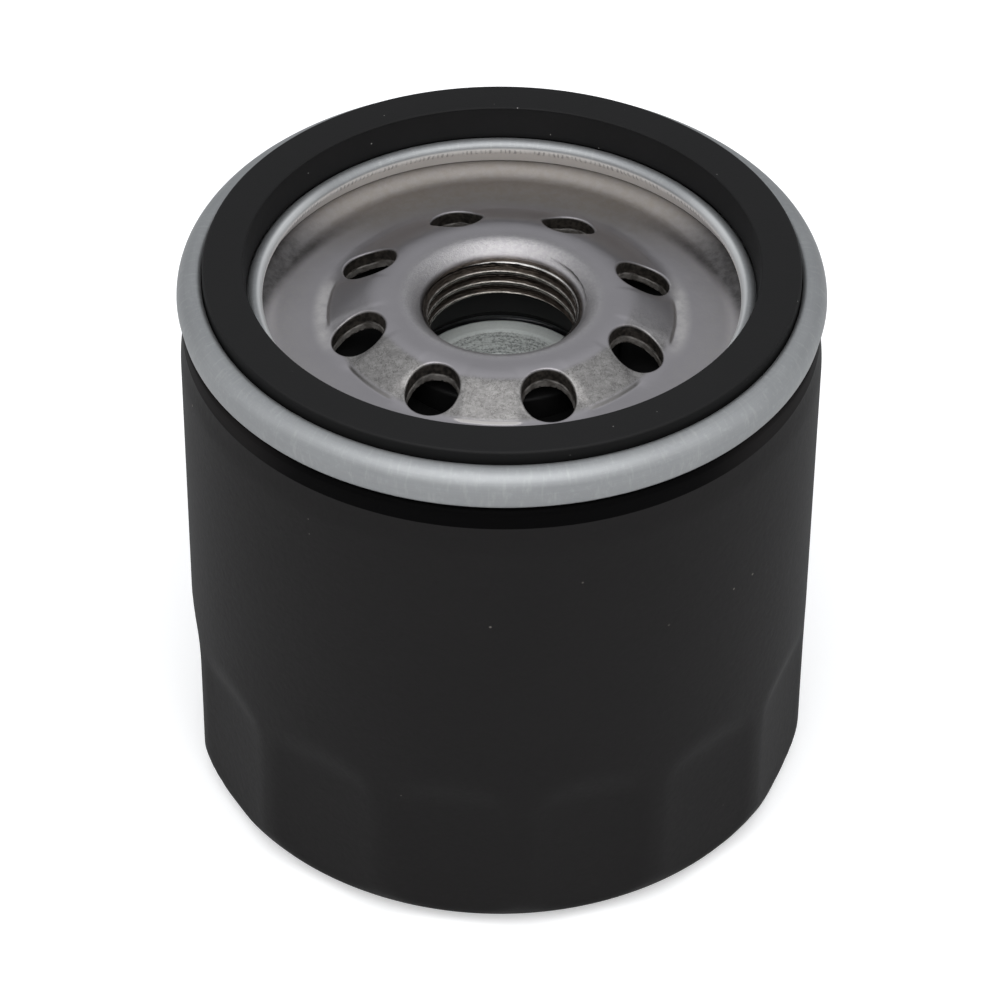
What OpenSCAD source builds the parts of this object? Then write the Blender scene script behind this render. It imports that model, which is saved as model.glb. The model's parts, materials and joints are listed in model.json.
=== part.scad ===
// Spin-on oil filter for small engines, standing on its closed end.
// Origin: centre of the closed end, on the plane it stands on. +Z points to the threaded end.
// Millimetres. Every sub-part is a module of its own.

/* [Can] */
// Outside radius of the can above its flats
body_r = 38.05; // [37.9:0.05:38.05]
// How much wider the can grows towards its open end
can_draft = 0.15; // [0:0.05:0.15]
// Sheet thickness of the can
can_wall = 0.45; // [0.4:0.01:0.46]
// Radius of the corner between the wall and the closed end
corner_r = 5; // [4:0.5:6]
// How far the middle of the closed end is pressed in
base_dish = 1.2; // [0.6:0.1:1.6]
// Number of wrench flats around the closed end
flutes = 14; // [12:1:16]
// How deep each flat is at its middle
flute_depth = 0.85; // [0.5:0.05:0.9]
// Height of the ridges between the flats
flute_top = 21; // [16:0.5:26]
// Extra height of a flat at its middle, where it runs out into the wall
flute_shoulder = 2.5; // [1.5:0.1:4]
// Turn of the first ridge from the front, degrees
flute_turn = 4.4; // [0:0.1:12]

/* [Seam and retainer] */
// Outside radius of the rolled seam
seam_r = 38.4; // [38.3:0.05:38.6]
// Height of the top of the seam
seam_top = 71.9; // [71.6:0.1:71.9]
// Sheet thickness of the retainer
lid_sheet = 0.6; // [0.5:0.01:0.6]
// Radius to the middle of the inner bead
bead_r = 29.25; // [29.15:0.05:29.3]
// Height of the top of the inner bead
bead_top = 69.5; // [69.4:0.1:69.8]

/* [Tapping plate] */
// Height of the flat hub face around the thread
hub_top = 68.1; // [67.9:0.1:68.4]
// Radius at which the hub face starts to slope
hub_r = 15.1; // [14.5:0.1:15.5]
// Radius at which the slope ends
slope_r = 20.4; // [20:0.1:21]
// Height of the flat ring outside the slope
annulus_top = 65.2; // [65:0.1:65.4]
// Thickness of the plate
plate_t = 2.6; // [2.2:0.1:2.8]
// Outside radius of the plate
plate_r = 36.9; // [36.5:0.1:36.9]
// Minor radius of the 3/4-16 thread
thread_minor_r = 8.75; // [8.67:0.01:8.84]
// Width of the rounded mouth of the threaded hole
mouth_w = 2.6; // [2:0.1:2.8]
// Depth of the rounded mouth
mouth_h = 2.1; // [1.6:0.05:2.1]
// How much the mouth curves into the hub face; 1 would be a plain cone
mouth_curve = 1.8; // [1.4:0.1:2]
// Height of the lower end of the threaded boss
boss_end = 61.2; // [61.1:0.1:61.6]
// Outside radius of the threaded boss
boss_r = 12.2; // [11.8:0.1:12.2]

/* [Inlet holes] */
// Number of inlet holes
inlets = 8; // [6:1:8]
// Diameter of an inlet hole
inlet_d = 6.3; // [5:0.1:6.6]
// Radius of the ring of holes
inlet_ring_r = 17.7; // [17.4:0.1:18]
// Turn of the first hole from +X, degrees
inlet_turn = 18.3; // [0:0.1:45]

/* [Sealing gasket] */
// Height of the sealing face, which is the height of the whole filter
gasket_top = 73.3; // [72.8:0.1:74]
// Outside radius of the gasket
gasket_out_r = 35.3; // [35.1:0.05:35.3]
// Inside radius of the sealing face
gasket_in_r = 30.6; // [30.5:0.1:31]

/* [Filter element] */
// Number of pleats
pleats = 40; // [30:1:44]
// Outside radius of the pleats
pleat_out_r = 32.1; // [31:0.1:32.4]
// Thickness of the filter paper
paper_t = 0.5; // [0.4:0.05:0.6]
// Outside radius of the perforated centre tube
tube_r = 18.6; // [18.5:0.05:18.7]
// Outside radius of the end caps
cap_r = 33.2; // [33:0.1:33.6]
// Sheet thickness of the end caps, tube, cage and spring cup
thin_sheet = 0.4; // [0.3:0.05:0.4]

/* [Valves] */
// Radius of the crown of the bypass cage
cage_r = 11.3; // [10.8:0.1:11.4]
// Radius of the outlet hole in the crown
cage_hole_r = 4.2; // [3.5:0.1:5]
// How far the bypass ring can open
bypass_travel = 3; // [2:0.5:3]
// Thickness of the rubber of the anti-drainback lip
lip_t = 1.1; // [0.9:0.1:1.2]

/* [Springs] */
// Wire of the element spring
element_wire = 2; // [1.6:0.1:2]
// Mean radius of the element spring
element_coil_r = 16; // [15.5:0.5:17]
// Turns of the element spring
element_turns = 3.75; // [3:0.25:3.75]
// Wire of the bypass spring
bypass_wire = 1.2; // [1:0.1:1.3]
// Turns of the bypass spring
bypass_turns = 5; // [4:0.5:5]

/* [Hidden] */

$fn = 96;
gap = 0.05;                    // clearance between pieces that touch
past = 1;                      // how far a cutter runs past what it cuts

// Can
neck_start = 60;               // where the wall starts to draw in under the seam
neck_end = 65;
top_r = body_r + can_draft;    // outside radius of the can where it starts to draw in
neck_r = top_r - 0.4;          // outside radius of the drawn-in wall
seam_start = 65.9;             // where the wall turns in under the seam
dish_r = 10;
dish_run = 3;                  // width of the slope around the pressed-in middle

// Seam layers, from the inside out, as radii to the middle of each sheet
chuck_r = gasket_out_r + 0.12 + lid_sheet / 2;
wall_r = chuck_r + (lid_sheet + can_wall) / 2 + gap / 2;
cover_hook_r = wall_r + (lid_sheet + can_wall) / 2 + gap;
body_hook_r = cover_hook_r + (lid_sheet + can_wall) / 2 + gap;
leg_r = seam_r - lid_sheet / 2;
hook_bend_z = 69.75;           // centre of the bend of the can's hook
fold_z = 67.9;                 // centre of the fold at the lower edge of the seam

// Retainer groove and plate
flange_top = annulus_top + 0.8;
floor_z = flange_top + gap + lid_sheet / 2;
step_r = 28.2;                 // where the plate steps up under the retainer
mouth_edge_r = thread_minor_r + 0.35; // where the mouth ends and the thread starts
bore_top = hub_top - mouth_h - 0.35;
plate_under = annulus_top - plate_t;

// Element stack, upwards
base_in = can_wall;
cup_z = 11.2;
lower_cap_z = 12.4;
lower_glue_z = lower_cap_z + thin_sheet + gap;
glue_t = 0.7;
media_z0 = lower_glue_z + glue_t + gap;
upper_cap_top = 57;
upper_cap_z = upper_cap_top - thin_sheet;
media_z1 = upper_cap_z - glue_t - 2 * gap;
tube_in_r = tube_r - thin_sheet;
media_in_r = tube_r + 0.8;
cap_hole_r = 11.7;
cap_skirt = 3;
port_r0 = 14.3;                // bypass ports, an interrupted ring of slots
port_r1 = 16.6;
ports = 6;
port_bridge = 16;              // degrees of metal between two ports

// Bypass valve
seal_t = 0.7;
ring_t = 0.6;
seal_top = upper_cap_z - gap;
ring_top = seal_top - seal_t - gap;
bypass_coil_r = 14.2;
coil_slack = 2.6;              // coil height left over when the bypass is fully open
cage_top = 55.8;
cage_foot = ring_top - ring_t - bypass_turns * bypass_wire - bypass_travel - coil_slack;
cage_edge_r = tube_in_r - 0.15;
cage_windows = 4;
tube_bead_z = cage_foot - 1.05; // rolled-in bead that carries the cage
tube_bead_in = 0.9;

// Anti-drainback valve
neck_rubber_r = 14;
lip_in_r = neck_rubber_r + 0.15;
lip_out_r = 24.6;
lip_in_z = 60.4;               // top of the lip at its inner edge
lip_top = plate_under - 0.15;

function arc(cx, cz, r, from, to, n = 6) =
    [for (i = [0:n]) let (a = from + (to - from) * i / n) [cx + r * cos(a), cz + r * sin(a)]];

function oval(cx, cz, rx, rz, from, to, n = 8) =
    [for (i = [0:n]) let (a = from + (to - from) * i / n) [cx + rx * cos(a), cz + rz * sin(a)]];

function side(a, b) = let (d = b - a) [-d[1], d[0]] / norm(d);

// Offset direction at point i of a path, lengthened at a corner so the sheet keeps its thickness
function mitre(p, i) =
    let (
        n0 = i > 0 ? side(p[i - 1], p[i]) : side(p[i], p[i + 1]),
        n1 = i < len(p) - 1 ? side(p[i], p[i + 1]) : n0,
        m = n0 + n1
    ) m * 2 / (m * m);

function band(p, t) = concat(
    [for (i = [0:len(p) - 1]) p[i] + mitre(p, i) * t / 2],
    [for (i = [len(p) - 1:-1:0]) p[i] - mitre(p, i) * t / 2]
);

// A sheet of thickness t bent along a path and spun about Z
module spun_sheet(path, t) {
    rotate_extrude() polygon(band(path, t));
}

module ring(r0, r1, z0, z1) {
    rotate_extrude() polygon([[r0, z0], [r1, z0], [r1, z1], [r0, z1]]);
}

module around(n, turn = 0) {
    for (i = [0:n - 1]) rotate(turn + i * 360 / n) children();
}

// A coil spring: the first and last turns lie close, and the others share the rest of the height
module coil(mean_r, wire, z0, z1, turns, per_turn = 24, sides = 10) {
    steps = round(turns * per_turn);
    closed = 0.75;
    rise = wire * 1.02;
    free = z1 - z0 - wire - 2 * closed * rise;
    function height(t) = t < closed ? t * rise
        : t > turns - closed ? z1 - z0 - wire - (turns - t) * rise
        : closed * rise + free * (t - closed) / (turns - 2 * closed);
    points = [
        for (i = [0:steps], j = [0:sides - 1])
            let (t = i / per_turn, a = 360 * t, b = 360 * j / sides, r = mean_r + wire / 2 * cos(b))
                [r * cos(a), r * sin(a), z0 + wire / 2 + height(t) + wire / 2 * sin(b)]
    ];
    skin = [
        for (i = [0:steps - 1], j = [0:sides - 1])
            let (a = i * sides + j, b = i * sides + (j + 1) % sides)
                each [[a, a + sides, b], [b, a + sides, b + sides]]
    ];
    start = [for (j = [0:sides - 1]) j];
    end = [for (j = [sides - 1:-1:0]) steps * sides + j];
    polyhedron(points, concat(skin, [start, end]), convexity = 8);
}

// The can's outer form from the closed end to the seam, shrunk by inset
module can_form(inset) {
    difference() {
        rotate_extrude() polygon(concat(
            [[0, base_dish + inset], [dish_r, base_dish + inset], [dish_r + dish_run, inset]],
            arc(body_r - corner_r, corner_r, corner_r - inset, -90, 0, 8),
            [
                [top_r - inset, neck_start], [neck_r - inset, neck_end],
                [neck_r - inset, seam_start], [0, seam_start]
            ]
        ));
        around(flutes, flute_turn - 90 + 180 / flutes) flat_cutter(inset);
    }
}

// The flat stands at the front of +X and runs out into the wall at its top
module flat_cutter(inset) {
    half_wide = body_r * tan(180 / flutes) + past;
    flat_r = body_r - flute_depth - inset;
    out = past + flute_depth;
    rotate([90, 0, 0]) linear_extrude(2 * half_wide, center = true) polygon([
        [flat_r, -past], [flat_r, flute_top],
        [flat_r + out, flute_top + flute_shoulder * out / flute_depth], [flat_r + out, -past]
    ]);
}

module can_shell() {
    bend_r = (body_hook_r - wall_r) / 2;
    turn_r = 0.6;
    mid_r = neck_r - can_wall / 2;
    color("#1a1a1c") union() {
        difference() {
            can_form(0);
            can_form(can_wall);
            translate([0, 0, seam_start - gap]) cylinder(r = neck_r - can_wall, h = past);
        }
        spun_sheet(concat(
            [[mid_r, seam_start - gap]],
            arc(mid_r - turn_r, seam_start, turn_r, 0, 80),
            arc(wall_r + turn_r, seam_start + 2 * turn_r, turn_r, 260, 180),
            arc(wall_r + bend_r, hook_bend_z, bend_r, 180, 0, 8),
            [[body_hook_r, hook_bend_z - 0.85]]
        ), can_wall);
    }
}

module retainer_lid() {
    roll_r = 0.65;             // bead, to the middle of the sheet
    roll_z = bead_top - roll_r - lid_sheet / 2;
    lip_end = 67.3;            // lower edge of the wall inside the bead
    inner_bend = 0.35;         // bend between the gasket's side wall and the crest of the seam
    crest_r = chuck_r + inner_bend;
    fold_r = (leg_r - 0.3 - cover_hook_r) / 2;
    foot_r = 31.3;             // where the sloping inner wall meets the groove floor
    color("#c9ccd0") spun_sheet(concat(
        [[bead_r - roll_r, lip_end]],
        arc(bead_r, roll_z, roll_r, 180, 0, 8),
        [[foot_r, floor_z + 0.3], [foot_r + 0.4, floor_z], [chuck_r - 0.6, floor_z]],
        arc(chuck_r - 0.5, floor_z + 0.5, 0.5, -70, 0),
        arc(crest_r, seam_top - lid_sheet / 2 - inner_bend, inner_bend, 180, 90, 5),
        oval(crest_r, 69.3, leg_r - crest_r, seam_top - lid_sheet / 2 - 69.3, 80, 0, 8),
        arc(cover_hook_r + fold_r, fold_z, fold_r, 0, -180, 8),
        [[cover_hook_r, fold_z + 1.4]]
    ), lid_sheet);
}

module seam_compound() {
    color("#5b5347") ring(36.3, 36.9, 70.6, 70.95);
}

module tapping_plate() {
    under_slope = hub_top - plate_t;
    color("#8f8b90") difference() {
        rotate_extrude() polygon(concat(
            [[thread_minor_r, boss_end], [thread_minor_r, bore_top]],
            [for (i = [0:8]) let (t = i / 8)
                [mouth_edge_r + mouth_w * t, hub_top - mouth_h * pow(1 - t, mouth_curve)]],
            [
                [hub_r, hub_top], [slope_r, annulus_top], [step_r, annulus_top],
                [step_r + 0.8, flange_top], [plate_r - 0.3, flange_top], [plate_r, flange_top - 0.3],
                [plate_r, flange_top - plate_t + 0.5], [plate_r - 0.5, flange_top - plate_t],
                [step_r + 1.6, flange_top - plate_t], [step_r + 0.8, plate_under],
                [slope_r, plate_under], [hub_r, under_slope], [boss_r, under_slope],
                [boss_r, boss_end]
            ]
        ));
        around(inlets, inlet_turn) translate([inlet_ring_r, 0, plate_under - past])
            cylinder(d = inlet_d, h = hub_top - plate_under + 2 * past);
    }
}

module sealing_gasket() {
    edge = 0.25;
    low = floor_z + lid_sheet / 2 + gap;
    color("#17171a") rotate_extrude() polygon([
        [gasket_in_r + edge, gasket_top], [gasket_in_r, gasket_top - edge],
        [gasket_in_r - 0.45, bead_top + 0.1], [gasket_in_r - 0.45, bead_top - 0.3],
        [31.95, low + 0.25], [32.15, low],
        [gasket_out_r - 0.4, low], [gasket_out_r + 0.05, low + 0.8],
        [gasket_out_r + 0.05, seam_top - 1.4], [gasket_out_r, gasket_top - edge],
        [gasket_out_r - edge, gasket_top]
    ]);
}

module antidrain_neck() {
    grip_r = boss_r + gap;
    foot_z = upper_cap_top + gap;
    color("#1b1b1d") rotate_extrude() polygon([
        [10.9, foot_z], [neck_rubber_r, foot_z], [neck_rubber_r, 63.2], [grip_r, 63.8],
        [grip_r, boss_end - gap], [11.2, boss_end - gap], [10.9, boss_end - 0.6]
    ]);
}

module antidrain_lip() {
    color("#1b1b1d") rotate_extrude() polygon([
        [lip_in_r, lip_in_z - lip_t], [lip_in_r + 1.2, lip_in_z - lip_t - 0.05],
        [lip_out_r - 1.6, lip_top - lip_t - 0.15], [lip_out_r, lip_top - 0.5], [lip_out_r, lip_top],
        [lip_out_r - 2.2, lip_top], [lip_in_r + 1.4, lip_in_z + 0.2], [lip_in_r, lip_in_z]
    ]);
}

module port_slot() {
    sweep = 360 / ports - port_bridge;
    rotate(-sweep / 2) rotate_extrude(angle = sweep) translate([port_r0, -past])
        square([port_r1 - port_r0, thin_sheet + 2 * past]);
}

module upper_end_cap() {
    mid_z = upper_cap_z + thin_sheet / 2;
    edge_r = cap_r - thin_sheet / 2;
    color("#b9bcc0") difference() {
        spun_sheet(concat(
            [[cap_hole_r, mid_z]],
            arc(edge_r - 0.8, mid_z - 0.8, 0.8, 90, 0),
            [[edge_r, mid_z - cap_skirt]]
        ), thin_sheet);
        translate([0, 0, upper_cap_z]) around(ports) port_slot();
    }
}

module lower_end_cap() {
    mid_z = lower_cap_z + thin_sheet / 2;
    edge_r = cap_r - thin_sheet / 2;
    color("#b9bcc0") spun_sheet(concat(
        [[0, mid_z + 1.2], [9, mid_z + 1.2], [10.5, mid_z]],
        arc(edge_r - 0.8, mid_z + 0.8, 0.8, -90, 0),
        [[edge_r, mid_z + cap_skirt]]
    ), thin_sheet);
}

module upper_adhesive() {
    color("#a8552f") ring(media_in_r - 0.3, cap_r - 1.05, media_z1 + gap, upper_cap_z - gap);
}

module lower_adhesive() {
    color("#a8552f") ring(media_in_r - 0.3, cap_r - 1.05, lower_glue_z, media_z0 - gap);
}

// One sheet of paper folded in and out, its two ends lying side by side along +X
module pleated_media() {
    out_r = pleat_out_r - paper_t / 2;
    in_r = media_in_r + paper_t / 2;
    pitch = 360 / pleats;
    end_y = 0.32;
    folds = [
        for (k = [1:pleats - 1]) let (a = k * pitch) each [
            in_r * [cos(a - 3 * pitch / 4), sin(a - 3 * pitch / 4)],
            in_r * [cos(a - pitch / 4), sin(a - pitch / 4)],
            out_r * [cos(a - pitch / 4), sin(a - pitch / 4)],
            out_r * [cos(a + pitch / 4), sin(a + pitch / 4)]
        ]
    ];
    last = 360 - 3 * pitch / 4;
    path = concat(
        [[out_r, end_y], [in_r, end_y]],
        [for (i = [1:len(folds) - 1]) folds[i]],
        [in_r * [cos(last), sin(last)], [in_r, -end_y], [out_r, -end_y]]
    );
    color("#d9c58f") translate([0, 0, media_z0])
        linear_extrude(media_z1 - media_z0) polygon(band(path, paper_t));
}

// Folded strip that grips the two ends of the paper
module media_clip() {
    reach = 4.5;
    inner = 0.32 + paper_t / 2 + gap;
    outer = inner + thin_sheet;
    end_r = pleat_out_r - paper_t / 2 + gap;
    color("#a9acb0") translate([0, 0, media_z0]) linear_extrude(media_z1 - media_z0) polygon([
        [end_r - reach, inner], [end_r, inner], [end_r, -inner], [end_r - reach, -inner],
        [end_r - reach, -outer], [end_r + thin_sheet, -outer], [end_r + thin_sheet, outer],
        [end_r - reach, outer]
    ]);
}

module centre_tube() {
    mid_r = tube_r - thin_sheet / 2;
    low = lower_glue_z;
    rows = 8;
    slots = 10;
    row_step = (upper_cap_z - low - 8) / (rows - 1);
    color("#b3b6ba") difference() {
        spun_sheet([
            [mid_r, low], [mid_r, tube_bead_z - 1],
            [mid_r - tube_bead_in, tube_bead_z - 0.3], [mid_r - tube_bead_in, tube_bead_z + 0.3],
            [mid_r, tube_bead_z + 1], [mid_r, upper_cap_z - gap]
        ], thin_sheet);
        for (i = [0:rows - 1])
            translate([0, 0, low + 4 + i * row_step])
                if (abs(low + 4 + i * row_step - tube_bead_z) > 2.6)
                    for (j = [0:slots / 2 - 1]) rotate((j + (i % 2) / 2) * 360 / slots)
                        cube([2 * body_r, 5, 1.8], center = true);
    }
}

// Inverted cup that holds the bypass spring, with an outlet in its crown and windows in its side
module bypass_cage() {
    mid_r = cage_r - thin_sheet / 2;
    mid_top = cage_top - thin_sheet / 2;
    crown = 0.5;
    color("#c4c8c6") difference() {
        spun_sheet(concat(
            [[cage_hole_r, mid_top]],
            arc(mid_r - crown, mid_top - crown, crown, 90, 0),
            arc(mid_r + 0.5, cage_foot + 0.5 + thin_sheet / 2, 0.5, 180, 270, 4),
            [[cage_edge_r, cage_foot + thin_sheet / 2]]
        ), thin_sheet);
        for (i = [0:cage_windows / 2 - 1]) rotate(45 + i * 360 / cage_windows)
            translate([0, 0, cage_foot + 3.4]) cube([2 * cage_r + past, 7, 3.6], center = true);
    }
}

module bypass_ring() {
    color("#9a9da1") ring(cage_r + 0.7, tube_in_r - 0.3, ring_top - ring_t, ring_top);
}

module bypass_seal() {
    color("#1b1b1d") ring(cage_r + 0.3, port_r1 + 0.9, seal_top - seal_t, seal_top);
}

module bypass_spring() {
    color("#8d8f93") coil(
        bypass_coil_r, bypass_wire, cage_foot + thin_sheet + gap,
        ring_top - ring_t - gap, bypass_turns
    );
}

module spring_cup() {
    mid_z = cup_z + thin_sheet / 2;
    color("#b3b6ba") spun_sheet([
        [11.5, mid_z + 0.7], [13.2, mid_z + 0.7], [13.9, mid_z], [18.2, mid_z], [18.9, mid_z - 1.6]
    ], thin_sheet);
}

module element_spring() {
    color("#77797d") coil(
        element_coil_r, element_wire, base_in + gap, cup_z - gap, element_turns
    );
}

can_shell();
retainer_lid();
seam_compound();
tapping_plate();
sealing_gasket();
antidrain_neck();
antidrain_lip();
upper_end_cap();
upper_adhesive();
pleated_media();
media_clip();
lower_adhesive();
lower_end_cap();
centre_tube();
bypass_cage();
bypass_spring();
bypass_ring();
bypass_seal();
spring_cup();
element_spring();
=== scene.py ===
"""Looks of a spin-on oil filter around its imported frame.

Blender works in metres. The shapes below are written in millimetres, in the frame's own axes:
z is 0 on the closed end and grows towards the threaded end. mesh_object() turns them into metres.
"""

import json
import math

import bmesh
import bpy
import numpy as np
from mathutils import Matrix, Vector


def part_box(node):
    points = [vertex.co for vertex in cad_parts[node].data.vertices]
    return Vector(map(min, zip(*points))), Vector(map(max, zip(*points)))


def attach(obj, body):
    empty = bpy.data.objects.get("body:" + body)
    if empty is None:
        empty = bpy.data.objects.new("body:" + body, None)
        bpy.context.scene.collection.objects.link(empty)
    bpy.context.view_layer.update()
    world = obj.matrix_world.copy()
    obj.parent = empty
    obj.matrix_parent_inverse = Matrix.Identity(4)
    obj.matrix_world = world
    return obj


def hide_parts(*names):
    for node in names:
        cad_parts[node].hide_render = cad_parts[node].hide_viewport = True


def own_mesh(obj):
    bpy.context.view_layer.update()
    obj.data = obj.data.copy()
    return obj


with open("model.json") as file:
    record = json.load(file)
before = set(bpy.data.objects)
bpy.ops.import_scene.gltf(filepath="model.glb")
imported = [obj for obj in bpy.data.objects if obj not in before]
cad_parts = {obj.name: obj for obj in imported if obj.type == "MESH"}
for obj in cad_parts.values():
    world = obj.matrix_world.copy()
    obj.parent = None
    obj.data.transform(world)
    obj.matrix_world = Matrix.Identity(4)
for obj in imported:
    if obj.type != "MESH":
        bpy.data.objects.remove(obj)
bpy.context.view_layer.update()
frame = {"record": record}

MM = 0.001
TURN = 2 * math.pi


def top_of(node):
    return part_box(node)[1].z / MM


def foot_of(node):
    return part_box(node)[0].z / MM


def radius_of(node):
    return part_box(node)[1].x / MM


# Can
CAN_DRAFT = 0.15  # how much wider the can is where it starts to draw in
BODY_R = radius_of("can_shell") - CAN_DRAFT
CAN_WALL = 0.45
CORNER_R = 5.0
BASE_DENT = 1.2  # how far the middle of the closed end is pressed in
FLUTES = 14
FLAT_R = BODY_R - 0.85  # from the axis to the middle of a flat
FLUTE_TOP = 21.0  # height of the ridges
FLUTE_RISE = 2.5  # how much higher a flat runs out at its middle
FLUTE_END = 30  # no trace of the flats above this height
FLAT_HOLLOW = 0.15  # depth of the hollow in a flat
RUN_OUT_SOFT = 1.6  # rounds the bend where a flat starts to run out
FLUTE_TURN = math.radians(4.4)  # first ridge, turned from the front
NECK_IN = 0.4  # how far the wall draws in under the seam
NECK_Z = (60.0, 65.0)
SHOULDER_Z = 65.9
NECK_BAND_Z = 64.2  # lower edge of the painted shade band under the seam
NECK_SHADE_FADE = ((-31.0, 0), (-22.0, 1))  # painted shade under the seam fades to plain paint away from the front: y, and how plain the paint is there

# Retainer and seam
LID_SHEET = 0.6
SEAM_R = radius_of("retainer_lid")
SEAM_TOP = top_of("retainer_lid")
BEAD_R = 29.25
KNURLS = 300  # fine marks around the wall inside the bead
KNURL_Z = (67.85, 68.6)
BEAD_TOP = 69.5
BEAD_ROLL = 0.65  # from the middle of the bead to the middle of its sheet
LIP_END = 66.25  # lower edge of the wall inside the bead
LIP_TILT = 30.0  # how far that wall leans outward on its way down, in degrees
LIP_SLOPE = math.tan(math.radians(LIP_TILT))
INNER_SIDE = 68.3  # r + LIP_SLOPE * z is less than this on the bead's inner side
CHUCK_R = 35.72
CREST_BEND = 0.35  # bend between the gasket's side wall and the crest of the seam
LEG_R = SEAM_R - LID_SHEET / 2
COVER_HOOK_R = 36.845
BODY_HOOK_R = 37.42
CAN_HOOK_R = 36.27
HOOK_BEND_Z = 69.75
FOLD_Z = 67.9

# Tapping plate
PLATE_T = 2.6
HUB_TOP = top_of("tapping_plate")
BOSS_END = foot_of("tapping_plate")
BOSS_R = 12.2
PLATE_R = radius_of("tapping_plate")
HUB_R = 15.1
SLOPE_R = 20.4
FACET_STEP = 0.3  # height of the pressed facets' outer edge above the flat ring
FACET_FOOT = 0.5  # width of the sloping step below that edge
FACET_FADE_Y = (0.0, 10.0)  # towards the back the facets are hardly pressed in
ANNULUS_TOP = 65.2
FLANGE_TOP = 66.0
STEP_R = 28.2  # where the plate steps up under the retainer
MOUTH_EDGE_R = 9.1  # where the rounded mouth ends and the thread starts
MOUTH_W, MOUTH_H = 2.6, 2.1  # width and depth of the mouth
MOUTH_CURVE = 1.8  # 1 is a plain cone, more rounds it into the hub's face
THREAD_MINOR_R = 8.75
THREAD_MAJOR_R = 9.525
PITCH = 25.4 / 16
THREAD_END_Z = (66.74, 66.98)  # where the groove runs out in the mouth
RUN_OUT = (0.45, 0.4)  # half width and depth of the mark that it leaves there
INLETS = 8
INLET_SLICE = TURN / INLETS
INLET_R = 3.15
INLET_RING_R = 17.7
INLET_TURN = math.radians(18.3)
TORN_R = INLET_R + 0.04  # upper, torn part of a hole's wall
CUT_R = INLET_R - 0.08  # lower, burnished part
CUT_FROM = 0.62  # how far down the wall the burnished part starts, from 0 to 1

# Gasket
GASKET_TOP = top_of("sealing_gasket")
GASKET_OUT_R = 35.3
GASKET_IN_R = 30.6
GASKET_FOOT = foot_of("sealing_gasket")

# Element
THIN = 0.4
CAP_R = 33.2
TUBE_FOOT = foot_of("centre_tube")
TUBE_TOP = top_of("centre_tube")
PLEATS = 40
PAPER_T = 0.5
END_GAP = 0.32  # from the plane between the paper's two ends to each of them
PLEAT_OUT_R = 32.1
PLEAT_IN_R = 19.4
PORTS = 6
PORT_R = (14.3, 16.6)
CAGE_R = 11.3
CAGE_TOP = top_of("bypass_cage")
CAGE_FOOT = foot_of("bypass_cage")
CAGE_HOLE_R = 4.2

ROUND = 240  # columns of a plain spun piece


# ---- outlines


def arc(cx, cz, r, start, end, steps=8, rz=None):
    """Points of an arc in the (radius, height) plane; angles in degrees, and rz makes it an oval."""
    angles = np.radians(np.linspace(start, end, steps + 1))
    return [(cx + r * math.cos(a), cz + (rz or r) * math.sin(a)) for a in angles]


def fillet(points, radii, steps=5, closed=True):
    """The outline with each corner rounded. radii is one number, or one for each corner."""
    count = len(points)
    if isinstance(radii, (int, float)):
        radii = [radii] * count
    out = []
    for i, (corner, r) in enumerate(zip(points, radii)):
        if r <= 0 or (not closed and i in (0, count - 1)):
            out.append(tuple(corner))
            continue
        here = np.array(corner, float)
        before = np.array(points[i - 1], float) - here
        after = np.array(points[(i + 1) % count], float) - here
        room = 0.49 * min(np.linalg.norm(before), np.linalg.norm(after))
        before /= np.linalg.norm(before)
        after /= np.linalg.norm(after)
        half = math.acos(np.clip(before @ after, -1, 1)) / 2
        if half > math.radians(89):
            out.append(tuple(corner))
            continue
        reach = min(r / math.tan(half), room)
        r = reach * math.tan(half)
        middle = (before + after) / np.linalg.norm(before + after)
        centre = here + middle * r / math.sin(half)
        start = here + before * reach - centre
        end = here + after * reach - centre
        sweep = math.atan2(start[0] * end[1] - start[1] * end[0], start @ end)
        for a in (sweep * k / steps for k in range(steps + 1)):
            c, s = math.cos(a), math.sin(a)
            out.append((centre[0] + (start[0] * c - start[1] * s), centre[1] + (start[0] * s + start[1] * c)))
    return out


def off_middle(angles, first, slice_angle):
    """How far each angle is from the middle of its slice. first is one of those middles."""
    return (angles - first + slice_angle / 2) % slice_angle - slice_angle / 2


def smoothstep(low, high, x):
    t = np.clip((x - low) / (high - low), 0, 1)
    return t * t * (3 - 2 * t)


def soft_min(a, b, width):
    """The smaller of two values, rounded where they cross."""
    h = np.clip(0.5 + 0.5 * (b - a) / width, 0, 1)
    return b * (1 - h) + a * h - width * h * (1 - h)


def soft_max(a, b, width):
    return -soft_min(-a, -b, width)


# ---- meshes


def add_object(name, data):
    piece = bpy.data.objects.new(name, data)
    bpy.context.scene.collection.objects.link(piece)
    return piece


def mesh_object(name, points, faces, sharp=40, **attributes):
    """A mesh from points in millimetres, welded, with its normals outward and smooth up to an angle."""
    mesh = bpy.data.meshes.new(name)
    mesh.from_pydata((np.asarray(points, float) * MM).tolist(), [], faces)
    for key, values in attributes.items():
        mesh.attributes.new(key, "FLOAT", "POINT").data.foreach_set("value", np.array(values, np.float32))
    piece = add_object(name, mesh)
    tidy(piece, sharp)
    return piece


def tidy(piece, sharp=40):
    work = bmesh.new()
    work.from_mesh(piece.data)
    bmesh.ops.remove_doubles(work, verts=work.verts, dist=1e-7)
    bmesh.ops.dissolve_degenerate(work, edges=work.edges, dist=1e-8)
    bmesh.ops.recalc_face_normals(work, faces=work.faces)
    work.to_mesh(piece.data)
    work.free()
    piece.data.shade_smooth()
    piece.data.set_sharp_from_angle(angle=math.radians(sharp))


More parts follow.
